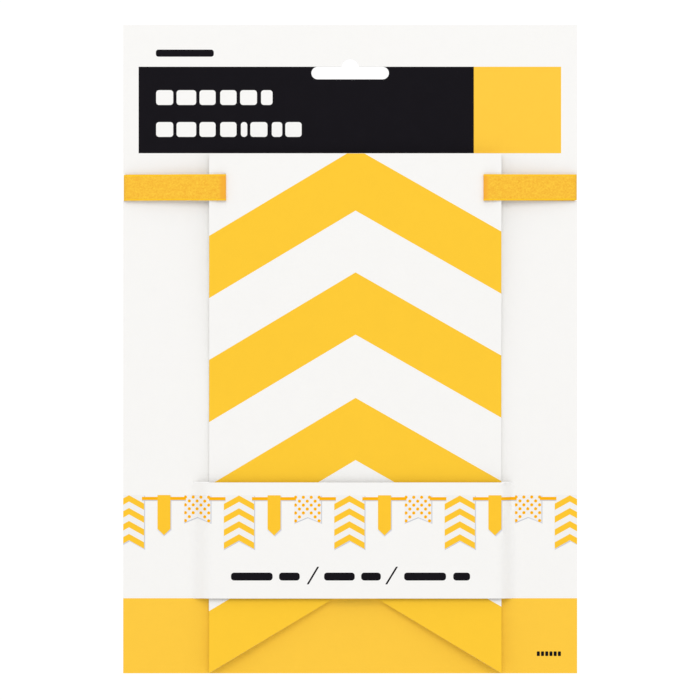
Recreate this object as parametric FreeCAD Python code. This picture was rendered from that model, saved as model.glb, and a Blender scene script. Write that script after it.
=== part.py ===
# Pennant banner kit on a die-cut hang card.
#
# A flat paperboard card hangs from a euro slot. Two horizontal slits in the card
# leave a strap standing proud between them. A stack of chevron pennants lies flat
# on the front of the card and passes behind that strap. A woven ribbon is wound
# round the card and the stack, seated in a notch in each side edge of the card, and
# its last turn is threaded through two slits in the front pennant. The dotted and
# the plain pennants lie on the back of the card under the same turns of ribbon.
#
# Frame: +Z up, -Y is the printed front, +X to the right seen from the front.
# Origin: the crown of the hang slot, where a peg bears, half way through the card.
# Lengths are in millimetres.

import FreeCAD, Part
import math
import os

V = FreeCAD.Vector

# ---- card ----
CARD_W = 177.8            # 7 in
CARD_H = 254.0            # 10 in
CARD_T = 0.45             # paperboard
CARD_TOP = 13.5           # card's top edge above the slot's crown
CARD_BOTTOM = CARD_TOP - CARD_H

# ---- hang slot ----
SLOT_W = 30.4             # bar, end to end
SLOT_TOP = -2.95          # bar's top edge
SLOT_BOTTOM = -7.85       # bar's bottom edge
NOTCH_R = 3.45            # round crown in the middle of the bar

# ---- strap between the two slits ----
SLIT_TOP = -165.6
SLIT_BOTTOM = -211.1
SLIT_X0, SLIT_X1 = -61.5, 63.3
SLIT_KERF = 0.3
STRAP_GAP = 4.00          # clear depth between the card's plane and the strap's back

# ---- paper pennants ----
PAPER_T = 0.25
SHEET_GAP = 0.04
SHEET_PITCH = PAPER_T + SHEET_GAP
STACK_X = 2.0             # the chevron stack sits a little right of the card's centre
CHEV_W = 114.3            # 4.5 in
CHEV_H = 203.2            # 8 in
CHEV_TOP = -37.0
CHEV_NOTCH = 34.15        # depth of the swallowtail
CHEV_SLIT_X = 50.7        # ribbon slits, either side of the pennant's middle
N_SPARE = 6               # chevron pennants behind the front one
STRAP_LIFT = 0.45         # how far the front pennant comes off the stack at the strap's lower edge
TAIL_LIFT = 1.60          # how much further its tails curl away from the card below that
DOT_W = 101.6             # 4 in
DOT_H = 101.6
DOT_NOTCH = 21.0
DOT_SLIT_X = 44.5
N_DOT = 6
SOLID_W = 50.8            # 2 in
SOLID_H = 152.4           # 6 in
SOLID_TIP = 23.4
SOLID_SLIT_X = 19.5
N_SOLID = 6               # in two piles of three, side by side
SMALL_TOP = -12.5         # top edge of the pennants on the back
SLIT_L = 10.7             # ribbon slit
SLIT_W = 0.5
THREADED_SLIT_W = 0.9

# ---- ribbon ----
RIB_W = 10.3
RIB_Z = -50.3             # centre line of the ribbon
RIB_TURNS_T = 1.50        # all the turns together
RIB_T = 0.18              # the one turn that is threaded through the front pennant
RIB_RISE = 1.30           # how far that turn stands up before it dives into each slit
NOTCH_D = 1.65            # card's edge notches
NOTCH_H = RIB_W + 0.1
FACE_GAP = 0.06

FRONT = -CARD_T / 2.0     # y of the card's front face
BACK = CARD_T / 2.0       # y of the card's back face


def prism_xz(points, y0, y1):
    """Closed outline in XZ, extruded from y0 to y1."""
    wire = Part.makePolygon([V(x, y0, z) for x, z in points] + [V(points[0][0], y0, points[0][1])])
    return Part.Face(wire).extrude(V(0, y1 - y0, 0))


def prism_xy(points, z0, z1):
    """Closed outline in XY, extruded from z0 to z1."""
    wire = Part.makePolygon([V(x, y, z0) for x, y in points] + [V(points[0][0], points[0][1], z0)])
    return Part.Face(wire).extrude(V(0, 0, z1 - z0))


def prism_yz(points, x0, x1):
    """Closed outline in YZ, extruded from x0 to x1."""
    wire = Part.makePolygon([V(x0, y, z) for y, z in points] + [V(x0, points[0][0], points[0][1])])
    return Part.Face(wire).extrude(V(x1 - x0, 0, 0))


def box(x0, x1, y0, y1, z0, z1):
    return Part.makeBox(x1 - x0, y1 - y0, z1 - z0, V(x0, y0, z0))


def hang_slot():
    """The bar with round ends and its round crown, as one cutting solid."""
    r = (SLOT_TOP - SLOT_BOTTOM) / 2.0
    zc = (SLOT_TOP + SLOT_BOTTOM) / 2.0
    xe = SLOT_W / 2.0 - r
    y0, y1 = -2.0, 2.0
    bar = box(-xe, xe, y0, y1, SLOT_BOTTOM, SLOT_TOP)
    ends = [Part.makeCylinder(r, y1 - y0, V(x, y0, zc), V(0, 1, 0)) for x in (-xe, xe)]
    crown = Part.makeCylinder(NOTCH_R, y1 - y0, V(0, y0, -NOTCH_R), V(0, 1, 0))
    keep = box(-NOTCH_R - 1, NOTCH_R + 1, y0, y1, zc, 1.0)
    return bar.fuse(ends + [crown.common(keep)]).removeSplitter()


def backing_card():
    plate = box(-CARD_W / 2, CARD_W / 2, FRONT, BACK, CARD_BOTTOM, CARD_TOP)
    window = box(SLIT_X0, SLIT_X1, -2, 2, SLIT_BOTTOM - SLIT_KERF / 2, SLIT_TOP + SLIT_KERF / 2)
    cuts = [window, hang_slot()]
    for side in (-1, 1):
        x_out, x_in = side * (CARD_W / 2 + 1), side * (CARD_W / 2 - NOTCH_D)
        cuts.append(box(min(x_out, x_in), max(x_out, x_in), -2, 2, RIB_Z - NOTCH_H / 2, RIB_Z + NOTCH_H / 2))
    plate = plate.cut(cuts)
    # The strap leaves the card's plane at each end of the slits and runs flat over the stack.
    back_y = FRONT - STRAP_GAP
    front_y = back_y - CARD_T
    xa, xb = STACK_X - CHEV_W / 2 - 0.6, STACK_X + CHEV_W / 2 + 0.6
    outline = [
        (SLIT_X0 - 0.01, FRONT), (xa, front_y), (xb, front_y), (SLIT_X1 + 0.01, FRONT),
        (SLIT_X1 + 0.01, BACK), (SLIT_X1 - 0.25, BACK), (xb - 0.2, back_y), (xa + 0.2, back_y),
        (SLIT_X0 + 0.25, BACK), (SLIT_X0 - 0.01, BACK),
    ]
    strap = prism_xy(outline, SLIT_BOTTOM + SLIT_KERF / 2, SLIT_TOP - SLIT_KERF / 2)
    return plate.fuse(strap).removeSplitter()


def chevron_outline():
    x0, x1 = STACK_X - CHEV_W / 2, STACK_X + CHEV_W / 2
    z1, z0 = CHEV_TOP, CHEV_TOP - CHEV_H
    return [(x0, z1), (x1, z1), (x1, z0), (STACK_X, z0 + CHEV_NOTCH), (x0, z0)]


def slit_boxes(xc, dx, zc, width):
    return [box(xc + s * dx - width / 2, xc + s * dx + width / 2, -20, 20, zc - SLIT_L / 2, zc + SLIT_L / 2) for s in (-1, 1)]


# Depths in front of the card's front face.
SPARE_BACK = FACE_GAP
SPARE_FRONT = FACE_GAP + N_SPARE * PAPER_T + (N_SPARE - 1) * SHEET_GAP
RING_IN_FRONT = SPARE_FRONT + FACE_GAP
RING_OUT_FRONT = RING_IN_FRONT + RIB_TURNS_T
FRONT_LOW = SPARE_FRONT + SHEET_GAP          # front pennant's back, lying on the stack
FRONT_HIGH = RING_OUT_FRONT + 0.05           # front pennant's back, over the ribbon


def spare_chevron(i):
    """i = 0 is the one next to the front pennant."""
    d1 = SPARE_FRONT - i * SHEET_PITCH
    sheet = prism_xz(chevron_outline(), FRONT - d1, FRONT - d1 + PAPER_T)
    return sheet.cut(slit_boxes(STACK_X, CHEV_SLIT_X, RIB_Z, SLIT_W))


def front_chevron():
    """Lies over the ribbon at its top, comes down on to the stack before the strap, and curls away from the card at its tails."""
    z_top, z_bot = CHEV_TOP, CHEV_TOP - CHEV_H
    path = [
        (FRONT_HIGH, z_top), (FRONT_HIGH, RIB_Z - 9.0), (FRONT_HIGH - 0.18, RIB_Z - 20.0),
        (FRONT_LOW + 0.22, RIB_Z - 72.0), (FRONT_LOW, RIB_Z - 88.0), (FRONT_LOW, SLIT_TOP - 5.0),
        (FRONT_LOW + STRAP_LIFT, SLIT_BOTTOM + 1.0), (FRONT_LOW + STRAP_LIFT + 0.5 * TAIL_LIFT, (SLIT_BOTTOM + z_bot) / 2 + 1.0),
        (FRONT_LOW + STRAP_LIFT + TAIL_LIFT, z_bot),
    ]
    back = [(FRONT - d, z) for d, z in path]
    front = [(FRONT - d - PAPER_T, z) for d, z in path]
    x0, x1 = STACK_X - CHEV_W / 2, STACK_X + CHEV_W / 2
    slab = prism_yz(back + front[::-1], x0 - 1, x1 + 1)
    sheet = slab.common(prism_xz(chevron_outline(), -20, 20))
    return sheet.cut(slit_boxes(STACK_X, CHEV_SLIT_X, RIB_Z, THREADED_SLIT_W))


# Depths behind the card's back face.
SOLID_IN = FACE_GAP
SOLID_OUT = SOLID_IN + (N_SOLID // 2) * PAPER_T + (N_SOLID // 2 - 1) * SHEET_GAP
DOT_IN = SOLID_OUT + FACE_GAP
DOT_OUT = DOT_IN + N_DOT * PAPER_T + (N_DOT - 1) * SHEET_GAP
RING_IN_BACK = DOT_OUT + FACE_GAP
RING_OUT_BACK = RING_IN_BACK + RIB_TURNS_T


def dotted(i):
    x0, x1, z1, z0 = -DOT_W / 2, DOT_W / 2, SMALL_TOP, SMALL_TOP - DOT_H
    b = DOT_OUT - i * SHEET_PITCH
    sheet = prism_xz([(x0, z1), (x1, z1), (x1, z0), (0, z0 + DOT_NOTCH), (x0, z0)], BACK + b - PAPER_T, BACK + b)
    return sheet.cut(slit_boxes(0.0, DOT_SLIT_X, SMALL_TOP - 13.5, SLIT_W))


def solid(i):
    side = -1 if i % 2 == 0 else 1
    xc = side * (SOLID_W / 2 + 0.5)
    b = SOLID_OUT - (i // 2) * SHEET_PITCH
    x0, x1, z1, z0 = xc - SOLID_W / 2, xc + SOLID_W / 2, SMALL_TOP, SMALL_TOP - SOLID_H
    sheet = prism_xz([(x0, z1), (x1, z1), (x1, z0 + SOLID_TIP), (xc, z0), (x0, z0 + SOLID_TIP)], BACK + b - PAPER_T, BACK + b)
    return sheet.cut(slit_boxes(xc, SOLID_SLIT_X, SMALL_TOP - 13.5, SLIT_W))


def ribbon():
    """All the turns as one closed band, with the last turn's two front runs through the front pennant's slits."""
    z0, z1 = RIB_Z - RIB_W / 2, RIB_Z + RIB_W / 2
    xi = CARD_W / 2 - NOTCH_D + 0.05
    xo = xi + RIB_TURNS_T
    sx0, sx1 = STACK_X - CHEV_W / 2, STACK_X + CHEV_W / 2
    fi, fo = FRONT - RING_IN_FRONT, FRONT - RING_OUT_FRONT
    bi, bo = BACK + RING_IN_BACK, BACK + RING_OUT_BACK
    inner = [(-xi, FRONT - 0.08), (sx0 - 0.08, fi), (sx1 + 0.08, fi), (xi, FRONT - 0.08),
             (xi, BACK + 0.08), (DOT_W / 2 + 0.08, bi), (-DOT_W / 2 - 0.08, bi), (-xi, BACK + 0.08)]
    outer = [(-xo, FRONT - 0.90), (-xo + 1.1, FRONT - 2.0), (sx0 - 0.55, fo), (sx1 + 0.55, fo), (xo - 1.1, FRONT - 2.0), (xo, FRONT - 0.90),
             (xo, BACK + 0.75), (DOT_W / 2 + 0.75, bo), (-DOT_W / 2 - 0.75, bo), (-xo, BACK + 0.75)]
    band = prism_xy(outer, z0, z1).cut(prism_xy(inner, z0 - 1, z1 + 1))
    top = FRONT - FRONT_HIGH - PAPER_T - 0.04      # inner face of the run where it crosses the front pennant's edge
    crest = top - RIB_RISE
    h = 0.16
    runs = []
    for side in (-1, 1):
        edge = STACK_X + side * CHEV_W / 2
        leg = STACK_X + side * CHEV_SLIT_X
        runs.append(prism_xy([
            (side * (xo - 1.2), FRONT - 1.95), (edge + side * 0.45, top - RIB_T), (leg + side * 1.9, crest - RIB_T),
            (leg - side * h, crest - RIB_T + 0.12), (leg - side * h, fo + 0.15), (leg + side * h, fo + 0.15),
            (leg + side * h, crest + 0.12), (leg + side * 1.9, crest), (edge + side * 0.35, top), (side * (xo - 2.6), FRONT - 1.95),
        ], z0, z1))
    return band.fuse(runs).removeSplitter()


def ribbon_tape():
    y = BACK + RING_OUT_BACK
    return box(-34.0, -14.0, y, y + 0.06, RIB_Z - 6.2, RIB_Z + 6.2)


def main():
    os.makedirs("parts", exist_ok=True)
    made = {"backing_card": backing_card(), "chevron_pennant_1": front_chevron(), "ribbon": ribbon(), "ribbon_tape": ribbon_tape()}
    for i in range(N_SPARE):
        made["chevron_pennant_%d" % (i + 2)] = spare_chevron(i)
    for i in range(N_DOT):
        made["dotted_pennant_%d" % (i + 1)] = dotted(i)
    for i in range(N_SOLID):
        made["solid_pennant_%d" % (i + 1)] = solid(i)
    for name, shape in made.items():
        assert shape.isValid() and shape.Volume > 0, name
        shape.exportStep("parts/%s.step" % name)
        b = shape.BoundBox
        print("%-20s solids %d vol %9.2f  x %.2f..%.2f  y %.3f..%.3f  z %.2f..%.2f" % (
            name, len(shape.Solids), shape.Volume, b.XMin, b.XMax, b.YMin, b.YMax, b.ZMin, b.ZMax))


main()
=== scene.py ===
import math

import bpy
import numpy as np
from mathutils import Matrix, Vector
from mathutils.geometry import delaunay_2d_cdt


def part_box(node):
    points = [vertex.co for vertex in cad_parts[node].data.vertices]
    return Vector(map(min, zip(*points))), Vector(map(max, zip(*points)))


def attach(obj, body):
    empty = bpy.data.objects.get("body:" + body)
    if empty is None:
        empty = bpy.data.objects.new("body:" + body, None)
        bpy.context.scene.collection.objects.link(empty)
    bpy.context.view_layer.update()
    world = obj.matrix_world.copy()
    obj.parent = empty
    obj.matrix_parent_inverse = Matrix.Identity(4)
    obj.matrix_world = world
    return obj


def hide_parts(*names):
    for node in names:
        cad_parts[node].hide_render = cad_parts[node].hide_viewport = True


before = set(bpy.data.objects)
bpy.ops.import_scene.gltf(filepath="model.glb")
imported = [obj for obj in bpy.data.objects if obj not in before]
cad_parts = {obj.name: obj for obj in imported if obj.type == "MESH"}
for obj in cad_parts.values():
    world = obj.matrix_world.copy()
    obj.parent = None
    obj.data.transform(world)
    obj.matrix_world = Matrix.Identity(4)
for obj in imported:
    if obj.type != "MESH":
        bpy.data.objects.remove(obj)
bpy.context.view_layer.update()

# Lengths below are in millimetres in the row frame, as in the CAD source, and go to metres when a mesh is made.
ROOT = "card_and_ribbon"
CARD_T = 0.45
FRONT, BACK = -CARD_T / 2, CARD_T / 2
PAPER_T = 0.25
SHEET_PITCH = 0.29
STACK_X = 2.0
SLIT_TOP, SLIT_BOTTOM = -165.6, -211.1
SLIT_X0, SLIT_X1 = -61.5, 63.3
STRAP_GAP = 4.00
CHEV_W, CHEV_H, CHEV_TOP, CHEV_NOTCH, CHEV_SLIT_X = 114.3, 203.2, -37.0, 34.15, 50.7
DOT_W, DOT_H, DOT_NOTCH, DOT_SLIT_X = 101.6, 101.6, 21.0, 44.5
SOLID_W, SOLID_H, SOLID_TIP, SOLID_SLIT_X = 50.8, 152.4, 23.4, 19.5
SMALL_TOP = -12.5
SLIT_L = 10.5
RIB_Z, RIB_W, RIB_T = -50.3, 10.3, 0.14
FRONT_LOW, FRONT_HIGH, STRAP_LIFT, TAIL_LIFT = 1.80, 3.37, 0.45, 2.60

rng = np.random.default_rng(11)


# ------------------------------------------------------------------ outlines
def rect(x0, x1, z0, z1):
    return [(x0, z0), (x1, z0), (x1, z1), (x0, z1)]


def rounded(x0, x1, z0, z1, r, n=6):
    pts = []
    for cx, cz, a0 in ((x1 - r, z0 + r, -90), (x1 - r, z1 - r, 0), (x0 + r, z1 - r, 90), (x0 + r, z0 + r, 180)):
        for i in range(n + 1):
            a = math.radians(a0 + 90 * i / n)
            pts.append((cx + r * math.cos(a), cz + r * math.sin(a)))
    return pts


def disc(cx, cz, r, n=20):
    return [(cx + r * math.cos(2 * math.pi * i / n), cz + r * math.sin(2 * math.pi * i / n)) for i in range(n)]


def swallowtail(x0, x1, top, height, notch):
    return [(x0, top), (x0, top - height), ((x0 + x1) / 2, top - height + notch), (x1, top - height), (x1, top)]


def pointed(x0, x1, top, height, tip):
    return [(x0, top), (x0, top - height + tip), ((x0 + x1) / 2, top - height), (x1, top - height + tip), (x1, top)]


def chevron_band(xa, x0, x1, z_apex, thick, slope_l, slope_r):
    """A chevron stripe that peaks at (xa, z_apex), from x0 to x1."""
    zl, zr = z_apex - (xa - x0) * slope_l, z_apex - (x1 - xa) * slope_r
    return [(x0, zl), (x0, zl - thick), (xa, z_apex - thick), (x1, zr - thick), (x1, zr), (xa, z_apex)]


def hang_slot_outline():
    top, bottom, width, rn = -2.95, -7.85, 30.4, 3.45
    r = (top - bottom) / 2
    zc, xe = (top + bottom) / 2, width / 2 - (top - bottom) / 2
    pts = [(-xe + r * math.cos(a), zc + r * math.sin(a)) for a in np.linspace(1.5 * math.pi, 0.5 * math.pi, 13)][::-1]
    pts = pts[::-1]
    half = math.sqrt(rn * rn - (top + rn) ** 2)
    a0 = math.acos(half / rn)
    pts += [(rn * math.cos(a), -rn + rn * math.sin(a)) for a in np.linspace(math.pi - a0, a0, 17)]
    pts += [(xe + r * math.cos(a), zc + r * math.sin(a)) for a in np.linspace(0.5 * math.pi, -0.5 * math.pi, 13)]
    return pts


# ------------------------------------------------------------------ sheet maker
def inside(poly, pts):
    poly = np.asarray(poly, float)
    x, z = pts[:, 0], pts[:, 1]
    hit = np.zeros(len(pts), bool)
    j = len(poly) - 1
    for i in range(len(poly)):
        xi, zi, xj, zj = poly[i][0], poly[i][1], poly[j][0], poly[j][1]
        if zi != zj:
            cross = ((zi > z) != (zj > z)) & (x < (xj - xi) * (z - zi) / (zj - zi) + xi)
            hit ^= cross
        j = i
    return hit


def split_loop(poly, step):
    out = []
    for i in range(len(poly)):
        a, b = np.array(poly[i], float), np.array(poly[(i + 1) % len(poly)], float)
        n = max(1, int(math.ceil(np.linalg.norm(b - a) / step)))
        out += [tuple(a + (b - a) * k / n) for k in range(n)]
    return out


def triangulate(outer, holes, prints, step, extra=()):
    """Points and triangles of a flat outline with holes. Every print outline is an edge line, and each triangle gets the number of the last print it lies in."""
    loops = [split_loop(p, step) for p in [outer, *holes]] + [split_loop(p, step) for p, _ in prints]
    verts, edges, seg_a, seg_b = [], [], [], []
    for loop in loops:
        base = len(verts)
        verts += loop
        edges += [(base + i, base + (i + 1) % len(loop)) for i in range(len(loop))]
        seg_a += loop
        seg_b += loop[1:] + loop[:1]
    lo, hi = np.min(outer, axis=0), np.max(outer, axis=0)
    gx, gz = np.arange(lo[0] + step / 2, hi[0], step), np.arange(lo[1] + step / 2, hi[1], step)
    grid = np.array([(x + (step / 4 if k % 2 else -step / 4), z) for k, z in enumerate(gz) for x in gx])
    for line in extra:
        grid = np.concatenate([grid, np.array(line, float).reshape(-1, 2)])
    a, b = np.array(seg_a, float), np.array(seg_b, float)
    d = b - a
    dd = np.maximum((d * d).sum(1), 1e-12)
    keep = inside(outer, grid)
    for i in range(0, len(grid), 400):
        g = grid[i:i + 400]
        t = np.clip(((g[:, None] - a[None]) * d[None]).sum(2) / dd[None], 0, 1)
        near = np.linalg.norm(g[:, None] - a[None] - t[..., None] * d[None], axis=2).min(1)
        keep[i:i + 400] &= near > 0.3 * step
    verts += [tuple(p) for p in grid[keep]]
    out = delaunay_2d_cdt([Vector(v) for v in verts], edges, [], 0, 1e-5)
    pts = np.array([tuple(v) for v in out[0]], float)
    tris = np.array([tuple(f) for f in out[2]], int)
    mid = pts[tris].mean(1)
    ok = inside(outer, mid)
    for h in holes:
        ok &= ~inside(h, mid)
    p, q, r = pts[tris[:, 0]], pts[tris[:, 1]], pts[tris[:, 2]]
    area = (q[:, 0] - p[:, 0]) * (r[:, 1] - p[:, 1]) - (q[:, 1] - p[:, 1]) * (r[:, 0] - p[:, 0])
    tris[area < 0] = tris[area < 0][:, ::-1]
    ok &= np.abs(area) > 1e-9
    tris, mid = tris[ok], mid[ok]
    region = np.zeros(len(tris), int)
    for poly, number in prints:
        region[inside(poly, mid)] = number
    return pts, tris, region


def sheet_mesh(name, flat, rise, thick, materials, back=None, rim=None, back_regions=None):
    """A sheet of real thickness. rise(x, z) gives the depth of its front face, and prints lie on the front (-Y) side."""
    pts, tris, region = flat
    used, tris = np.unique(tris, return_inverse=True)
    tris = tris.reshape(-1, 3)
    pts = pts[used]
    y = rise(pts[:, 0], pts[:, 1])
    e = 0.05
    gx = (rise(pts[:, 0] + e, pts[:, 1]) - rise(pts[:, 0] - e, pts[:, 1])) / (2 * e)
    gz = (rise(pts[:, 0], pts[:, 1] + e) - rise(pts[:, 0], pts[:, 1] - e)) / (2 * e)
    gx, gz = np.clip(gx, -1.5, 1.5), np.clip(gz, -1.5, 1.5)
    n = np.stack([-gx, np.ones_like(gx), -gz], 1)
    n /= np.linalg.norm(n, axis=1)[:, None]
    f = np.stack([pts[:, 0], y, pts[:, 1]], 1)
    co = np.concatenate([f, f + n * thick]) * 0.001
    k = len(pts)
    count = {}
    for t in tris:
        for i in range(3):
            a, b = int(t[i]), int(t[(i + 1) % 3])
            count[(a, b)] = count.get((a, b), 0) + 1
    rims = [(a, b) for (a, b) in count if (b, a) not in count]
    # seen from -Y with X right and Z up, a counter-clockwise triangle in (x, z) faces -Y
    faces = [tuple(int(i) for i in t) for t in tris]
    faces += [(int(t[2]) + k, int(t[1]) + k, int(t[0]) + k) for t in tris]
    faces += [(b, a, a + k, b + k) for a, b in rims]
    mesh = bpy.data.meshes.new(name)
    mesh.from_pydata([tuple(c) for c in co], [], faces)
    for m in materials:
        mesh.materials.append(m)
    last = len(materials) - 1
    back_region = np.full(len(tris), last - 1 if back is None else back) if back_regions is None else back_regions
    index = list(region) + list(back_region) + [last if rim is None else rim] * len(rims)
    mesh.polygons.foreach_set("material_index", np.array(index, np.int32))
    mesh.validate()
    mesh.shade_smooth()
    mesh.set_sharp_from_angle(angle=math.radians(40))
    mesh.update()
    return mesh


def piece(name, mesh, body, nodes=()):
    obj = bpy.data.objects.new(name, mesh)
    bpy.context.scene.collection.objects.link(obj)
    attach(obj, body)
    if nodes:
        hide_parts(*nodes)
    return obj


def step01(t):
    t = np.clip(t, 0, 1)
    return t * t * (3 - 2 * t)


# ------------------------------------------------------------------ materials
class Nodes:
    def __init__(self, name):
        self.mat = bpy.data.materials.new(name)
        self.mat.use_nodes = True
        self.t = self.mat.node_tree
        self.t.nodes.clear()
        self.out = self.t.nodes.new("ShaderNodeOutputMaterial")
        self.bsdf = self.t.nodes.new("ShaderNodeBsdfPrincipled")
        self.link(self.bsdf.outputs["BSDF"], self.out.inputs["Surface"])
        self.obj = None

    def link(self, a, b):
        self.t.links.new(a, b)

    def set(self, name, value):
        self.bsdf.inputs[name].default_value = value

    def coords(self):
        if self.obj is None:
            self.obj = self.t.nodes.new("ShaderNodeTexCoord").outputs["Object"]
        return self.obj

    def scaled(self, vec, scale, offset=(0, 0, 0)):
        m = self.t.nodes.new("ShaderNodeMapping")
        m.inputs["Scale"].default_value = scale
        m.inputs["Location"].default_value = offset
        self.link(vec, m.inputs["Vector"])
        return m.outputs["Vector"]

    def noise(self, scale, detail=3.0, rough=0.55, vec=None, distort=0.0):
        n = self.t.nodes.new("ShaderNodeTexNoise")
        n.inputs["Scale"].default_value = scale
        n.inputs["Detail"].default_value = detail
        n.inputs["Roughness"].default_value = rough
        n.inputs["Distortion"].default_value = distort
        self.link(self.coords() if vec is None else vec, n.inputs["Vector"])
        return n.outputs["Fac"]

    def ranged(self, value, a0, a1, b0, b1):
        r = self.t.nodes.new("ShaderNodeMapRange")
        for key, v in zip(("From Min", "From Max", "To Min", "To Max"), (a0, a1, b0, b1)):
            r.inputs[key].default_value = v
        self.link(value, r.inputs["Value"])
        return r.outputs["Result"]

    def mix(self, fac, a, b):
        m = self.t.nodes.new("ShaderNodeMix")
        m.data_type = "RGBA"
        for key, v in ((6, a), (7, b)):
            if hasattr(v, "is_output"):
                self.link(v, m.inputs[key])
            else:
                m.inputs[key].default_value = (*v, 1.0)
        if hasattr(fac, "is_output"):
            self.link(fac, m.inputs[0])
        else:
            m.inputs[0].default_value = fac
        return m.outputs[2]

    def math(self, op, a, b=None, c=None):
        m = self.t.nodes.new("ShaderNodeMath")
        m.operation = op
        for i, v in enumerate((a, b, c)):
            if v is None:
                continue
            if hasattr(v, "is_output"):
                self.link(v, m.inputs[i])
            else:
                m.inputs[i].default_value = v
        return m.outputs[0]

    def bump(self, height, strength, distance, normal=None):
        b = self.t.nodes.new("ShaderNodeBump")
        b.inputs["Strength"].default_value = strength
        b.inputs["Distance"].default_value = distance
        self.link(height, b.inputs["Height"])
        if normal is not None:
            self.link(normal, b.inputs["Normal"])
        return b.outputs["Normal"]


def shade(rgb, k):
    return tuple(min(1.0, c * k) for c in rgb)


def paper(name, rgb, rough=0.62, spec=0.22, mottle=0.012, tooth=0.25, specks=0.0):
    """Printed or plain paper: cloudy fibre formation, fine tooth and a slightly uneven ink."""
    n = Nodes(name)
    cloud = n.noise(160.0, 4.0, 0.6)
    fine = n.noise(2600.0, 3.0, 0.6)
    fac = n.ranged(n.math("ADD", n.math("MULTIPLY", cloud, 0.65), n.math("MULTIPLY", fine, 0.35)), 0.3, 0.7, 0.0, 1.0)
    colour = n.mix(fac, shade(rgb, 1 - mottle), shade(rgb, 1 + mottle))
    if specks:
        s = n.ranged(n.noise(1500.0, 2.0, 0.5, distort=1.5), 0.70, 0.78, 0.0, specks)
        colour = n.mix(s, colour, shade(rgb, 0.72))
    n.link(colour, n.bsdf.inputs["Base Color"])
    n.link(n.ranged(fine, 0.3, 0.7, rough - 0.05, rough + 0.05), n.bsdf.inputs["Roughness"])
    n.set("Specular IOR Level", spec)
    tooth_n = n.bump(n.noise(5200.0, 3.0, 0.65), tooth, 0.00002)
    n.link(n.bump(n.noise(420.0, 3.0, 0.5), 0.12, 0.00006, tooth_n), n.bsdf.inputs["Normal"])
    return n.mat


def board_edge(name, rgb):
    """Cut edge of board: pale plies with a torn, fibrous grain across the thickness."""
    n = Nodes(name)
    ply = n.noise(1.0, 3.0, 0.6, vec=n.scaled(n.coords(), (900.0, 9000.0, 900.0)))
    colour = n.mix(n.ranged(ply, 0.35, 0.65, 0.0, 1.0), shade(rgb, 0.86), shade(rgb, 1.04))
    n.link(colour, n.bsdf.inputs["Base Color"])
    n.set("Roughness", 0.85)
    n.set("Specular IOR Level", 0.1)
    n.link(n.bump(ply, 0.5, 0.00005), n.bsdf.inputs["Normal"])
    return n.mat


def ribbon_cloth(name, rgb):
    """Woven ribbon: a fine twill with plump threads, uneven dye, a tight bright selvedge and painted shade, a darker
    tint where it bends down into each slit. u runs along it and v across it, both in metres.
    """
    n = Nodes(name)
    uv = n.t.nodes.new("ShaderNodeUVMap")
    uv.uv_map = "weave"
    sep = n.t.nodes.new("ShaderNodeSeparateXYZ")
    n.link(uv.outputs["UV"], sep.inputs["Vector"])
    u, v = sep.outputs["X"], sep.outputs["Y"]
    tau = 2 * math.pi
    wander = n.math("MULTIPLY", n.math("SUBTRACT", n.noise(700.0, 2.0, 0.5, vec=uv.outputs["UV"]), 0.5), 3.0)
    diag = n.math("SINE", n.math("ADD", n.math("MULTIPLY", n.math("ADD", u, v), tau / 0.00062), wander))
    cross = n.math("SINE", n.math("MULTIPLY", n.math("SUBTRACT", u, v), tau / 0.00031))
    weft = n.math("SINE", n.math("MULTIPLY", u, tau / 0.00022))
    height = n.math("ADD", n.math("ADD", n.math("MULTIPLY", diag, 0.45), n.math("MULTIPLY", cross, 0.25)), n.math("MULTIPLY", weft, 0.12))
    slub = n.noise(1.0, 2.0, 0.6, vec=n.scaled(uv.outputs["UV"], (1250.0, 1450.0, 1.0)))
    slow = n.noise(1.0, 2.0, 0.5, vec=n.scaled(uv.outputs["UV"], (380.0, 620.0, 1.0)))
    # the tint follows the twill's relief, darker in its grooves, which is painted shade; the slub and slow noise add
    # uneven dye
    tone = n.math("ADD", n.math("MULTIPLY", height, 0.42), n.math("MULTIPLY", n.math("SUBTRACT", slub, 0.5), 2.2))
    tone = n.math("ADD", tone, n.math("MULTIPLY", n.math("SUBTRACT", slow, 0.5), 0.9))
    fac = n.ranged(tone, -0.62, 0.62, 0.0, 1.0)
    colour = n.mix(fac, (rgb[0] * 0.935, rgb[1] * 0.79, rgb[2] * 0.7), (min(1.0, rgb[0] * 1.06), rgb[1] * 1.21, rgb[2] * 1.5))
    # painted shade: a mesh attribute darkens the tint towards a deeper orange where the ribbon bends down into its
    # slits
    painted_fold_shade = n.t.nodes.new("ShaderNodeAttribute")
    painted_fold_shade.attribute_name = "painted_fold_shade"
    colour = n.mix(painted_fold_shade.outputs["Fac"], colour, (rgb[0] * 0.97, rgb[1] * 0.80, rgb[2] * 0.95))
    edge = n.ranged(n.math("ABSOLUTE", v), 0.00445, 0.00475, 0.0, 1.0)
    colour = n.mix(n.math("MULTIPLY", edge, 0.8), colour, (min(1.0, rgb[0] * 1.06), rgb[1] * 1.16, rgb[2] * 0.10))
    n.link(colour, n.bsdf.inputs["Base Color"])
    n.link(n.ranged(fac, 0.0, 1.0, 0.72, 0.6), n.bsdf.inputs["Roughness"])
    n.set("Specular IOR Level", 0.25)
    n.set("Sheen Weight", 0.08)
    n.set("Sheen Roughness", 0.4)
    n.link(n.bump(height, 0.45, 0.00004, n.bump(slub, 0.35, 0.00006)), n.bsdf.inputs["Normal"])
    return n.mat


def tape_film(name):
    n = Nodes(name)
    n.set("Base Color", (0.93, 0.93, 0.90, 1.0))
    n.set("Alpha", 0.34)
    n.set("Specular IOR Level", 0.5)
    n.link(n.ranged(n.noise(900.0, 2.0, 0.5), 0.3, 0.7, 0.22, 0.34), n.bsdf.inputs["Roughness"])
    n.link(n.bump(n.noise(260.0, 3.0, 0.5, vec=n.scaled(n.coords(), (1.0, 1.0, 3.0))), 0.25, 0.00008), n.bsdf.inputs["Normal"])
    return n.mat


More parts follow.
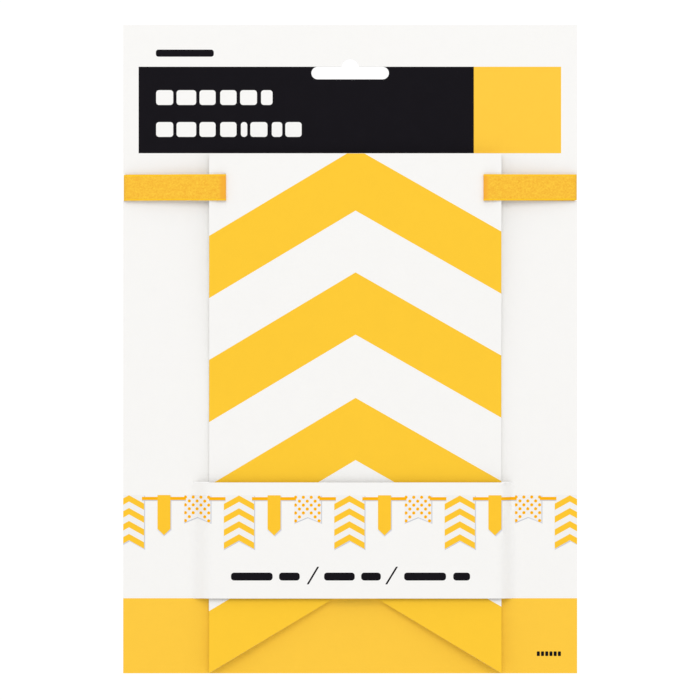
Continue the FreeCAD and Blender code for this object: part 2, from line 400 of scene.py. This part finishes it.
WHITE = (0.857, 0.848, 0.831)
CARD_YELLOW = (0.920, 0.546, 0.041)
SHEET_YELLOW = (0.907, 0.541, 0.026)
RIBBON_YELLOW = (0.880, 0.480, 0.024)
INK_BLACK = (0.0058, 0.0048, 0.0072)

m_white = paper("card_white", WHITE, rough=0.55, spec=0.25, mottle=0.006, tooth=0.15)
m_black = paper("ink_black", INK_BLACK, rough=0.6, spec=0.05, mottle=0.10, tooth=0.2)
m_card_yellow = paper("ink_card_yellow", CARD_YELLOW, rough=0.52, spec=0.15, mottle=0.012, tooth=0.15)
m_card_back = paper("card_back", (0.50, 0.485, 0.445), rough=0.82, spec=0.10, mottle=0.045, tooth=0.5, specks=0.45)
m_edge = board_edge("card_edge", (0.62, 0.605, 0.57))
m_paper = paper("pennant_white", WHITE, rough=0.66, spec=0.18, mottle=0.008, tooth=0.3)
m_yellow = paper("ink_pennant_yellow", SHEET_YELLOW, rough=0.62, spec=0.15, mottle=0.012, tooth=0.3)
m_paper_back = paper("pennant_back", (0.86, 0.855, 0.835), rough=0.75, spec=0.15, mottle=0.012, tooth=0.4)
m_paper_edge = board_edge("pennant_edge", (0.86, 0.85, 0.82))
m_mini_white = paper("ink_mini_white", shade(WHITE, 0.955), rough=0.55, spec=0.2, mottle=0.006, tooth=0.15)
m_mini_shadow = paper("ink_mini_shadow", (0.52, 0.535, 0.58), rough=0.55, spec=0.2, mottle=0.006, tooth=0.15)
m_mini_soft = paper("ink_mini_soft", (0.74, 0.745, 0.765), rough=0.55, spec=0.2, mottle=0.006, tooth=0.15)
m_mini_yellow = paper("ink_mini_yellow", (0.915, 0.528, 0.024), rough=0.56, spec=0.10, mottle=0.012, tooth=0.15)
m_mini_cord = paper("ink_mini_cord", (0.905, 0.425, 0.002), rough=0.60, spec=0.03, mottle=0.012, tooth=0.15)
m_ribbon = ribbon_cloth("woven_ribbon_yellow", RIBBON_YELLOW)
# painted shade: a darker, duller brown-yellow for the side faces of the ribbon's turns, standing in for the shade
# between the stacked turns
m_ribbon_side_shade = board_edge("ribbon_side_painted_shade", (0.42, 0.31, 0.13))
m_tape = tape_film("clear_tape_film")


# ------------------------------------------------------------------ the card
def mini_garland():
    """The little picture of the strung banner that is printed across the strap: (outline, material number) from the back forward."""
    soft, dark, white, yellow, cord = 4, 5, 6, 7, 8
    top = -170.66
    pitch = 43.17

    def drop(poly, dx, dz, grow):
        c = np.mean(poly, axis=0)
        return [(x + dx + (grow if x > c[0] else -grow), z + dz - (grow if z < c[1] else 0.0)) for x, z in poly]

    def shadows(flag):
        return [(drop(flag, 0.22, -0.28, 0.30), soft), (drop(flag, 0.20, -0.24, 0.06), dark)]

    shapes, cords, solids = [], [], []
    for k in range(5):
        x0 = -92.54 + pitch * k
        x1 = x0 + 11.83
        flag = swallowtail(x0, x1, top, 21.08, 3.29)
        shapes += shadows(flag) + [(flag, white)]
        for z in (-170.74, -175.75, -180.82, -185.89):
            band = chevron_band((x0 + x1) / 2, x0, x1, z, 2.51, 0.556, 0.556)
            shapes.append((band, yellow))
    for k in range(4):
        x0 = -64.97 + pitch * k
        x1 = x0 + 10.40
        flag = swallowtail(x0, x1, top, 10.78, 2.20)
        shapes += shadows(flag) + [(flag, white)]
        for row in range(7):
            z = -171.45 - 1.535 * row
            cols = [0.45, 3.50, 6.58, 9.65] if row % 2 == 0 else [1.97, 5.04, 8.11]
            for c in cols:
                cut = top - 10.78 + 2.20 * (1 - abs(c - 5.2) / 5.2) if row > 4 else -1e9
                if z - 0.35 > cut:
                    shapes.append(([(min(max(x, x0), x1), zz) for x, zz in disc(x0 + c, z, 0.64, 16)], cord))
    for k in range(4):
        x0 = -75.46 + pitch * k
        flag = pointed(x0, x0 + 5.09, top, 15.76, 2.50)
        shapes += shadows(flag)
        solids.append((flag, yellow))
    # cord between neighbours, lapping on to the edges of the two-holed flags
    for k in range(4):
        c1 = -92.54 + pitch * k + 11.83
        s0 = -75.46 + pitch * k
        s1 = s0 + 5.09
        d0 = -64.97 + pitch * k
        d1 = d0 + 10.40
        c2 = c1 - 11.83 + pitch
        for a, b in ((c1 - 0.85, s0 + 0.2), (s1 - 0.2, d0 + 0.65), (d1 - 0.65, c2 + 0.65)):
            cords += [(rect(a, b, -172.98, -171.40), dark), (rect(a, b, -172.62, -171.40), cord)]
    return [s for s in shapes if max(p[0] for p in s[0]) > -88.9 and min(p[0] for p in s[0]) < 88.9] + cords + solids


def clip_x(poly, lim=88.899):
    """The part of an outline between the card's side edges."""
    for side in (-1, 1):
        out = []
        for i in range(len(poly)):
            a, b = poly[i], poly[(i + 1) % len(poly)]
            ia, ib = side * a[0] <= lim, side * b[0] <= lim
            if ia:
                out.append(a)
            if ia != ib:
                t = (side * lim - a[0]) / (b[0] - a[0])
                out.append((side * lim, a[1] + t * (b[1] - a[1])))
        poly = out
    return poly


def card_rise(x, z):
    """Depth of the card's front face: flat, with the strap standing proud between its slits."""
    strap = (z < SLIT_TOP) & (z > SLIT_BOTTOM)
    xa, xb = STACK_X - CHEV_W / 2 - 0.3, STACK_X + CHEV_W / 2 + 0.3
    up = step01((x - (SLIT_X0 - 0.4)) / (xa - SLIT_X0 + 0.4)) * step01(((SLIT_X1 + 0.4) - x) / (SLIT_X1 + 0.4 - xb))
    bow = 0.05 * np.cos(np.clip((x - STACK_X) / 58.0, -1, 1) * math.pi / 2)
    return FRONT - np.where(strap, (STRAP_GAP + CARD_T) * up + bow * up, 0.0)


def make_card():
    lim = 88.9
    notch = 1.65
    n0, n1 = RIB_Z - 5.2, RIB_Z + 5.2
    outer = [(-lim, -240.5), (lim, -240.5), (lim, n0), (lim - notch, n0 + 0.05), (lim - notch, n1 - 0.05), (lim, n1),
             (lim, 13.5), (-lim, 13.5), (-lim, n1), (-lim + notch, n1 - 0.05), (-lim + notch, n0 + 0.05), (-lim, n0)]
    kerf = 0.06
    holes = [hang_slot_outline(),
             rect(SLIT_X0, SLIT_X1, SLIT_TOP - kerf, SLIT_TOP + kerf),
             rect(SLIT_X0, SLIT_X1, SLIT_BOTTOM - kerf, SLIT_BOTTOM + kerf)]
    white, black, yellow, dark_bar = 0, 1, 2, 3
    prints = [
        (rect(-82.86, 48.43, -36.80, -2.92), black),
        (rect(48.43, 82.63, -36.80, -2.92), yellow),
        (rect(-lim, lim, -240.5, SLIT_BOTTOM), yellow),
        (rounded(-76.1, -53.4, 1.0, 3.8, 1.0), dark_bar),
        ([(-17.0, -205.5), (-16.2, -205.5), (-12.1, -198.6), (-12.9, -198.6)], dark_bar),
        ([(13.7, -205.5), (14.5, -205.5), (18.7, -198.6), (17.9, -198.6)], dark_bar),
    ]
    # the item mark in the corner as a row of small blocks
    prints += [(rounded(a, a + 1.2, -233.75, -231.9, 0.3), dark_bar) for a in (73.1, 74.75, 76.4, 78.05, 79.7, 81.35)]
    # the title's two lines as plain blocks, and the size line as short bars
    for z0, z1, blocks in ((-17.9, -12.1, ((-76.0, -69.3), (-68.0, -60.3), (-59.0, -52.7), (-50.9, -44.5), (-43.1, -36.5), (-34.9, -30.4))),
                           (-30.4, -24.6, ((-76.0, -69.3), (-68.0, -60.3), (-59.0, -52.7), (-50.9, -44.5), (-42.8, -40.3), (-39.1, -32.4), (-30.7, -26.6), (-25.4, -19.0)))):
        prints += [(rounded(a, b, z0, z1, 1.15), white) for a, b in blocks]
    for a, b in ((-46.6, -30.3), (-27.8, -19.7), (-10.2, 1.8), (4.3, 12.0), (21.1, 37.5), (40.3, 46.9)):
        prints.append((rounded(a, b, -204.0, -200.9, 1.2), dark_bar))
    prints += [(clip_x(p), k) for p, k in mini_garland()]
    flat = triangulate(outer, holes, prints, 3.0)
    back = len([0, 1, 2, 3, 4, 5, 6, 7, 8])
    mats = [m_white, m_black, m_card_yellow, m_black, m_mini_soft, m_mini_shadow, m_mini_white, m_mini_yellow, m_mini_cord, m_card_back, m_edge]
    mesh = sheet_mesh("backing_card", flat, card_rise, CARD_T, mats, back=back)
    return piece("hang_card", mesh, ROOT, ["backing_card"])


# ------------------------------------------------------------------ pennants
def slits(xc, dx, zc, half=0.06):
    return [rect(xc + s * dx - half, xc + s * dx + half, zc - SLIT_L / 2, zc + SLIT_L / 2) for s in (-1, 1)]


def chevron_prints(yellow=1):
    x0, x1 = STACK_X - CHEV_W / 2, STACK_X + CHEV_W / 2
    top, xa = CHEV_TOP, STACK_X + 0.1
    out = []
    for i, z in enumerate((-35.0, -83.5, -132.6, -181.75)):
        band = chevron_band(xa, x0, x1, z, 24.35, 0.598, 0.570)
        if i == 0:  # the sheet's top edge cuts the first peak off
            half_l, half_r = (z - top) / 0.598, (z - top) / 0.570
            zl, zr = z - (xa - x0) * 0.598, z - (x1 - xa) * 0.570
            band = [(x0, zl), (x0, zl - 24.35), (xa, z - 24.35), (x1, zr - 24.35), (x1, zr), (xa + half_r, top), (xa - half_l, top)]
        if i == 3:  # the last stripe runs out to the tails
            zl, zr = z - (xa - x0) * 0.598, z - (x1 - xa) * 0.570
            low = CHEV_TOP - CHEV_H
            band = [(x0, zl), (x0, low), (STACK_X, low + CHEV_NOTCH), (x1, low), (x1, zr), (xa, z)]
        out.append((band, yellow))
    return out


def make_chevrons():
    x0, x1 = STACK_X - CHEV_W / 2, STACK_X + CHEV_W / 2
    outline = swallowtail(x0, x1, CHEV_TOP, CHEV_H, CHEV_NOTCH)
    mats = [m_paper, m_yellow, m_paper_back, m_paper_edge]
    # the front one: lies over the ribbon, then comes down on to the stack
    flat = triangulate(outline, slits(STACK_X, CHEV_SLIT_X, RIB_Z, 0.10), chevron_prints(), 3.0)

    def rise(x, z):
        down = step01((RIB_Z - 11.0 - z) / 76.0)
        tilt = 0.03 * np.sin((x - STACK_X) / 41.0) * down
        # below the strap the two tails curl away from the card
        low = CHEV_TOP - CHEV_H
        tilt = tilt + STRAP_LIFT * step01((SLIT_TOP - 3.0 - z) / (SLIT_TOP - 3.0 - SLIT_BOTTOM)) ** 1.2
        tilt = tilt + TAIL_LIFT * np.clip((SLIT_BOTTOM + 3.0 - z) / (SLIT_BOTTOM + 3.0 - low), 0, 1.02) ** 1.35
        # the paper lifts a little beside each slit, where the ribbon dives under it
        lift = 0.0
        for s in (-1, 1):
            d = (STACK_X + s * CHEV_SLIT_X - x) * s
            lift = lift + 0.28 * np.where(d > 0, np.exp(-d / 3.2), 0.0) * np.exp(-((z - RIB_Z) / 5.5) ** 4)
        return FRONT - (FRONT_HIGH + (FRONT_LOW - FRONT_HIGH) * down) - PAPER_T - tilt - lift

    mesh = sheet_mesh("chevron_pennant_1", flat, rise, PAPER_T, mats)
    piece("chevron_pennant_front", mesh, ROOT, ["chevron_pennant_1"])
    # the rest lie flat behind it
    flat = triangulate(outline, slits(STACK_X, CHEV_SLIT_X, RIB_Z), chevron_prints(), 9.0)
    base = sheet_mesh("chevron_flat", flat, lambda x, z: 0.0 * x, PAPER_T, mats)
    for i in range(6):
        node = "chevron_pennant_%d" % (i + 2)
        lo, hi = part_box(node)
        mesh = base.copy()
        mesh.name = node
        mesh.transform(jitter(lo.y, (STACK_X, CHEV_TOP - 100.0), 0.10))
        piece("pennant_chevron_%d" % (i + 2), mesh, node, [node])
    bpy.data.meshes.remove(base)


def jitter(y, centre, size):
    """Sets a flat sheet at depth y in metres, a hair out of line with its neighbours."""
    from mathutils import Matrix
    dx, dz = rng.uniform(-size, size, 2) * 0.001
    a = rng.uniform(-1, 1) * math.radians(0.06)
    c = Vector((centre[0] * 0.001, 0, centre[1] * 0.001))
    return Matrix.Translation(Vector((dx, y, dz)) + c) @ Matrix.Rotation(a, 4, "Y") @ Matrix.Translation(-c)


def turned(mesh_name, flat, thick, mats):
    """A flat sheet whose print faces +Y."""
    mesh = sheet_mesh(mesh_name, flat, lambda x, z: 0.0 * x, thick, mats)
    from mathutils import Matrix
    mesh.transform(Matrix.Translation((0, thick * 0.001, 0)) @ Matrix.Rotation(math.pi, 4, "Z"))
    return mesh


def make_small():
    mats = [m_paper, m_yellow, m_paper_back, m_paper_edge]
    x0, x1 = -DOT_W / 2, DOT_W / 2
    outline = swallowtail(x0, x1, SMALL_TOP, DOT_H, DOT_NOTCH)
    dots = []
    for row in range(7):
        z = SMALL_TOP - 7.6 - 14.9 * row
        for x in ((-45, -15, 15, 45) if row % 2 == 0 else (-30, 0, 30)):
            low = SMALL_TOP - DOT_H + DOT_NOTCH * (1 - abs(x) / (DOT_W / 2))
            if z + 5.5 > low:
                poly = clip_below(disc(x, z, 5.5, 32), x0, x1)
                if poly:
                    dots.append((poly, 1))
    flat = triangulate(outline, slits(0.0, DOT_SLIT_X, SMALL_TOP - 13.5), dots, 9.0)
    base = turned("dotted_flat", flat, PAPER_T, mats)
    for i in range(6):
        node = "dotted_pennant_%d" % (i + 1)
        lo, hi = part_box(node)
        mesh = base.copy()
        mesh.name = node
        mesh.transform(jitter(lo.y, (0.0, SMALL_TOP - 50.0), 0.12))
        piece("pennant_dotted_%d" % (i + 1), mesh, node, [node])
    bpy.data.meshes.remove(base)
    mats = [m_yellow, m_yellow, m_paper_back, m_paper_edge]
    outline = pointed(-SOLID_W / 2, SOLID_W / 2, SMALL_TOP, SOLID_H, SOLID_TIP)
    flat = triangulate(outline, slits(0.0, SOLID_SLIT_X, SMALL_TOP - 13.5), [], 9.0)
    base = turned("solid_flat", flat, PAPER_T, mats)
    from mathutils import Matrix
    for i in range(6):
        node = "solid_pennant_%d" % (i + 1)
        lo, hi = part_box(node)
        mesh = base.copy()
        mesh.name = node
        mesh.transform(Matrix.Translation(((lo.x + hi.x) / 2, 0, 0)))
        mesh.transform(jitter(lo.y, ((lo.x + hi.x) * 500, SMALL_TOP - 75.0), 0.12))
        piece("pennant_solid_%d" % (i + 1), mesh, node, [node])
    bpy.data.meshes.remove(base)


def clip_below(poly, x0, x1):
    """The part of a dot that lies on the dotted pennant, above its swallowtail."""
    apex = (0.0, SMALL_TOP - DOT_H + DOT_NOTCH)
    lines = [((x0, SMALL_TOP - DOT_H), apex), (apex, (x1, SMALL_TOP - DOT_H))]
    c = np.mean(poly, axis=0)
    for a, b in ((lines[0],) if c[0] < -1 else (lines[1],) if c[0] > 1 else lines):
        out = []
        d = (b[0] - a[0], b[1] - a[1])
        side = [d[0] * (p[1] - a[1]) - d[1] * (p[0] - a[0]) for p in poly]
        for i in range(len(poly)):
            j = (i + 1) % len(poly)
            if side[i] >= 0:
                out.append(poly[i])
            if (side[i] >= 0) != (side[j] >= 0):
                t = side[i] / (side[i] - side[j])
                out.append((poly[i][0] + t * (poly[j][0] - poly[i][0]), poly[i][1] + t * (poly[j][1] - poly[i][1])))
        poly = out
        if len(poly) < 3:
            return None
    return poly


# ------------------------------------------------------------------ ribbon
def rounded_path(pts, radius):
    """The line through pts with each corner eased over at most radius."""
    pts = [np.array(p, float) for p in pts]
    out = [pts[0]]
    for i in range(1, len(pts) - 1):
        a, b, c = pts[i - 1], pts[i], pts[i + 1]
        la, lc = np.linalg.norm(a - b), np.linalg.norm(c - b)
        d = min(radius[i] if hasattr(radius, "__len__") else radius, 0.45 * la, 0.45 * lc)
        p, q = b + (a - b) / la * d, b + (c - b) / lc * d
        for t in np.linspace(0, 1, 8):
            out.append((1 - t) ** 2 * p + 2 * t * (1 - t) * b + t * t * q)
    out.append(pts[-1])
    return np.array(out)


def make_ribbon():
    turns_t, notch_d = 1.50, 1.65
    front_in, front_out = 1.76 + 0.06, 1.76 + 0.06 + turns_t
    solid_out = 0.06 + 3 * 0.25 + 2 * 0.04
    dot_out = solid_out + 0.06 + 6 * 0.25 + 5 * 0.04
    back_in = dot_out + 0.06
    back_out = back_in + turns_t
    xi = 88.9 - notch_d + 0.05
    xo = xi + turns_t
    sx0, sx1 = STACK_X - CHEV_W / 2, STACK_X + CHEV_W / 2
    fi, fo, bi, bo = FRONT - front_in, FRONT - front_out, BACK + back_in, BACK + back_out
    d2 = DOT_W / 2
    # corners of a turn, from the left edge round the front: innermost and outermost
    inner = np.array([(-xi, FRONT - 0.08), (-xi + 0.6, FRONT - 0.20), (sx0 - 0.08, fi), (sx1 + 0.08, fi), (xi - 0.6, FRONT - 0.20), (xi, FRONT - 0.08),
                      (xi, BACK + 0.08), (d2 + 0.08, bi), (-d2 - 0.08, bi), (-xi, BACK + 0.08)])
    outer = np.array([(-xo, FRONT - 0.90), (-xo + 1.1, FRONT - 2.0), (sx0 - 0.55, fo), (sx1 + 0.55, fo), (xo - 1.1, FRONT - 2.0), (xo, FRONT - 0.90),
                      (xo, BACK + 0.75), (d2 + 0.75, bo), (-d2 - 0.75, bo), (-xo, BACK + 0.75)])
    turns = 9
    # share of a turn at each corner, counted from the middle of the back
    frac = np.array([0.20, 0.22, 0.32, 0.60, 0.72, 0.74, 0.76, 0.86, 0.08, 0.18])
    lo, hi = RIB_T / 2 / turns_t, 1 - RIB_T / 2 / turns_t

    def at(j, s):
        s = lo + (hi - lo) * min(max(s, 0.0), 1.0)
        return inner[j] * (1 - s) + outer[j] * s

    pts, rad = [(40.0, bi + RIB_T / 2)], [0]
    top = FRONT - FRONT_HIGH - PAPER_T
    over = top - 0.04 - RIB_T / 2           # mid-line of the run over the front pennant's edge
    crest = over - 1.30
    for k in range(turns):
        last = k == turns - 1
        for j in (8, 9, 0, 1, 2, 3, 4, 5, 6, 7):
            p = at(j, (k + frac[j]) / turns)
            if last and j in (2, 3):
                side = -1 if j == 2 else 1
                edge, leg = (sx0, STACK_X - CHEV_SLIT_X) if j == 2 else (sx1, STACK_X + CHEV_SLIT_X)
                lap = 0.10 if j == 2 else 0.50          # how far the fold hangs over its slit
                run = [(edge + side * 1.0, over - 0.04), (leg + side * 2.9, crest + 0.06), (leg - side * (lap - 0.45), crest + 0.03), (leg - side * lap, crest + 0.16),
                       (leg - side * lap, crest + 0.95), (leg - side * 0.02, over + 0.10), (leg, fo - 0.18), (leg - side * 1.2, fo + RIB_T / 2 + 0.01)]
                bend = [7.0, 1.8, 0.35, 0.3, 0.3, 0.2, 0.3, 1.0]
                pts += run if j == 2 else run[::-1]
                rad += bend if j == 2 else bend[::-1]
                continue
            pts.append(tuple(p))
            rad.append(3.0 if j in (2, 3, 7, 8) else 0.8)
    pts.append((-30.0, bo - RIB_T / 2))
    rad.append(0)
    line = rounded_path(pts, rad)
    keep = [0]
    for i in range(1, len(line)):
        if np.linalg.norm(line[i] - line[keep[-1]]) > 0.02:
            keep.append(i)
    line = line[keep]
    # even out long runs
    dense = [line[0]]
    for a, b in zip(line[:-1], line[1:]):
        n = max(1, int(math.ceil(np.linalg.norm(b - a) / 3.0)))
        dense += [a + (b - a) * (i + 1) / n for i in range(n)]
    line = np.array(dense)
    seg = np.linalg.norm(np.diff(line, axis=0), axis=1)
    along = np.concatenate([[0], np.cumsum(seg)])
    total = along[-1]
    tan = np.gradient(line, along, axis=0)
    tan /= np.linalg.norm(tan, axis=1)[:, None]
    nor = np.stack([tan[:, 1], -tan[:, 0]], 1)
    # how the ribbon lies across its width: each turn wanders a hair, and the last one is full width at the slits
    wander = 0.07 * np.sin(along / 61.0) + 0.05 * np.sin(along / 23.0 + 1.3)
    is_last = step01((along - (total - 292.0)) / 12.0)
    x = line[:, 0]
    near_edge = np.clip((np.abs(x) - 50.0) / 38.0, 0, 1)
    top_z = RIB_Z + RIB_W / 2 - 0.12 + wander * (1 - is_last) + 0.12 * is_last
    low_z = RIB_Z - RIB_W / 2 + 0.12 + wander * (1 - is_last) + (-0.12 + 0.30 * near_edge ** 1.5) * is_last
    across = np.array([-1.0, -0.97, -0.6, 0.0, 0.6, 0.97, 1.0])
    thick = np.array([0.45, 1.0, 1.0, 1.0, 1.0, 1.0, 0.45]) * RIB_T / 2
    m, c = len(line), len(across)
    co, uv = np.zeros((2, m, c, 3)), np.zeros((m, c, 2))
    for q in range(c):
        z = low_z + (top_z - low_z) * (across[q] + 1) / 2
        for side in (0, 1):
            o = (1 if side else -1) * thick[q]
            co[side, :, q, 0] = line[:, 0] + nor[:, 0] * o
            co[side, :, q, 1] = line[:, 1] + nor[:, 1] * o
            co[side, :, q, 2] = z
        uv[:, q, 0] = along * 0.001
        uv[:, q, 1] = across[q] * RIB_W / 2 * 0.001
    verts = co.reshape(-1, 3) * 0.001
    idx = lambda side, i, q: (side * m + i) * c + q
    faces, corners = [], []
    for i in range(m - 1):
        for q in range(c - 1):
            faces.append((idx(1, i, q), idx(1, i + 1, q), idx(1, i + 1, q + 1), idx(1, i, q + 1)))
            corners.append(((i, q), (i + 1, q), (i + 1, q + 1), (i, q + 1)))
            faces.append((idx(0, i, q), idx(0, i, q + 1), idx(0, i + 1, q + 1), idx(0, i + 1, q)))
            corners.append(((i, q), (i, q + 1), (i + 1, q + 1), (i + 1, q)))
        for q, flip in ((0, False), (c - 1, True)):
            f = [idx(0, i, q), idx(0, i + 1, q), idx(1, i + 1, q), idx(1, i, q)]
            g = [(i, q), (i + 1, q), (i + 1, q), (i, q)]
            faces.append(tuple(f[::-1] if flip else f))
            corners.append(tuple(g[::-1] if flip else g))
    for i, flip in ((0, True), (m - 1, False)):
        for q in range(c - 1):
            f = [idx(0, i, q), idx(0, i, q + 1), idx(1, i, q + 1), idx(1, i, q)]
            g = [(i, q), (i, q + 1), (i, q + 1), (i, q)]
            faces.append(tuple(f[::-1] if flip else f))
            corners.append(tuple(g[::-1] if flip else g))
    mesh = bpy.data.meshes.new("ribbon")
    mesh.from_pydata([tuple(v) for v in verts], [], faces)
    layer = mesh.uv_layers.new(name="weave")
    flat_uv = np.array([uv[i, q] for face in corners for i, q in face], np.float32)
    layer.data.foreach_set("uv", flat_uv.ravel())
    # painted shade: the tint is darkened for the last 3 mm before each slit, where the ribbon bends down into it
    fold = np.zeros((2, m, c))
    front_run = (line[:, 1] < over + 0.25) & (along > total - 320.0)
    for side in (-1, 1):
        end = STACK_X + side * CHEV_SLIT_X
        d = (line[:, 0] - end) * side
        on = front_run & (d > -0.8) & (d < 6.0)
        fold[:, on] = (1.0 - np.clip((d[on] - (1.3 if side < 0 else 1.0)) / (1.6 if side < 0 else 0.7), 0, 1))[None, :, None]
    shade_layer = mesh.attributes.new("painted_fold_shade", "FLOAT", "POINT")
    shade_layer.data.foreach_set("value", fold.reshape(-1).astype(np.float32))
    mesh.materials.append(m_ribbon)
    mesh.materials.append(m_ribbon_side_shade)
    per = 2 * (c - 1)
    # the side faces and the two ends take the painted-shade material
    mesh.polygons.foreach_set("material_index", ([0] * per + [1, 1]) * (m - 1) + [1] * per)
    mesh.shade_smooth()
    mesh.set_sharp_from_angle(angle=math.radians(50))
    mesh.update()
    obj = piece("ribbon_wound", mesh, ROOT, ["ribbon"])
    print("ribbon length mm", round(total, 1), "verts", len(verts))
    return obj


def make_tape():
    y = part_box("ribbon_tape")[0].y * 1000
    outline = []
    x0, x1, z0, z1 = -34.0, -14.0, RIB_Z - 6.2, RIB_Z + 6.2
    # the dispenser's teeth leave a saw edge at both ends
    zs = np.linspace(z0, z1, 21)
    outline += [(x0 + (0.30 if i % 2 else 0.0), z) for i, z in enumerate(zs)][::-1]
    outline += [(x1 - (0.0 if i % 2 else 0.30), z) for i, z in enumerate(zs)]
    flat = triangulate(outline, [], [], 1.6)

    def rise(x, z):
        over = step01((np.abs(z - RIB_Z) - RIB_W / 2 + 0.1) / 1.0)
        return y + 0.0 * x - 0.10 * over

    mesh = sheet_mesh("ribbon_tape", flat, rise, 0.05, [m_tape, m_tape, m_tape])
    return piece("tape_on_ribbon_end", mesh, ROOT, ["ribbon_tape"])


make_card()
make_chevrons()
make_small()
make_ribbon()
make_tape()


# ------------------------------------------------------------------ stage, light, camera
def stage_floor():
    mat = bpy.data.materials.new("floor_pale")
    mat.use_nodes = True
    b = mat.node_tree.nodes["Principled BSDF"]
    b.inputs["Base Color"].default_value = (0.82, 0.82, 0.82, 1)
    b.inputs["Roughness"].default_value = 0.9
    b.inputs["Specular IOR Level"].default_value = 0.1
    bpy.ops.mesh.primitive_circle_add(vertices=96, radius=3.3, fill_type="NGON", location=(0, 0, -0.45))
    floor = bpy.context.object
    floor.name = "floor"
    floor.data.materials.append(mat)
    return floor


def area(name, loc, target, size, power, colour=(1, 1, 1)):
    light = bpy.data.lights.new(name, "AREA")
    light.shape = "RECTANGLE"
    light.size, light.size_y = size
    light.energy = power
    light.color = colour
    obj = bpy.data.objects.new(name, light)
    bpy.context.scene.collection.objects.link(obj)
    obj.location = loc
    obj.rotation_euler = (Vector(target) - Vector(loc)).to_track_quat("-Z", "Y").to_euler()
    return obj


stage_floor()
scene = bpy.context.scene
world = bpy.data.worlds.new("studio")
scene.world = world
world.use_nodes = True
wt = world.node_tree
wt.nodes.clear()
w_out = wt.nodes.new("ShaderNodeOutputWorld")
w_mix = wt.nodes.new("ShaderNodeMixShader")
w_path = wt.nodes.new("ShaderNodeLightPath")
w_fill = wt.nodes.new("ShaderNodeBackground")
w_seen = wt.nodes.new("ShaderNodeBackground")
w_fill.inputs["Color"].default_value = (1, 1, 1, 1)
w_fill.inputs["Strength"].default_value = 0.870
w_seen.inputs["Color"].default_value = (1, 1, 1, 1)
w_seen.inputs["Strength"].default_value = 1.05
wt.links.new(w_path.outputs["Is Camera Ray"], w_mix.inputs["Fac"])
wt.links.new(w_fill.outputs[0], w_mix.inputs[1])
wt.links.new(w_seen.outputs[0], w_mix.inputs[2])
wt.links.new(w_mix.outputs[0], w_out.inputs["Surface"])

centre = (0.0, 0.0, -0.114)
area("key", (0.0, -2.2, 1.0), centre, (1.6, 1.2), 16.4)
area("back_fill", (-0.7, 2.3, 0.9), centre, (1.6, 1.2), 6.5)

cam_data = bpy.data.cameras.new("camera")
cam_data.sensor_width = 36.0
cam_data.lens = 36.0 * 2.5 / 0.2742
cam_data.clip_start, cam_data.clip_end = 0.05, 60.0
cam = bpy.data.objects.new("camera", cam_data)
scene.collection.objects.link(cam)
cam.location = (-0.00006, -2.5, -0.11387)
cam.rotation_euler = (math.radians(90), 0, 0)
scene.camera = cam
scene.view_settings.view_transform = "Standard"
scene.view_settings.look = "None"
scene.view_settings.exposure = 0.0
scene.view_settings.gamma = 1.0
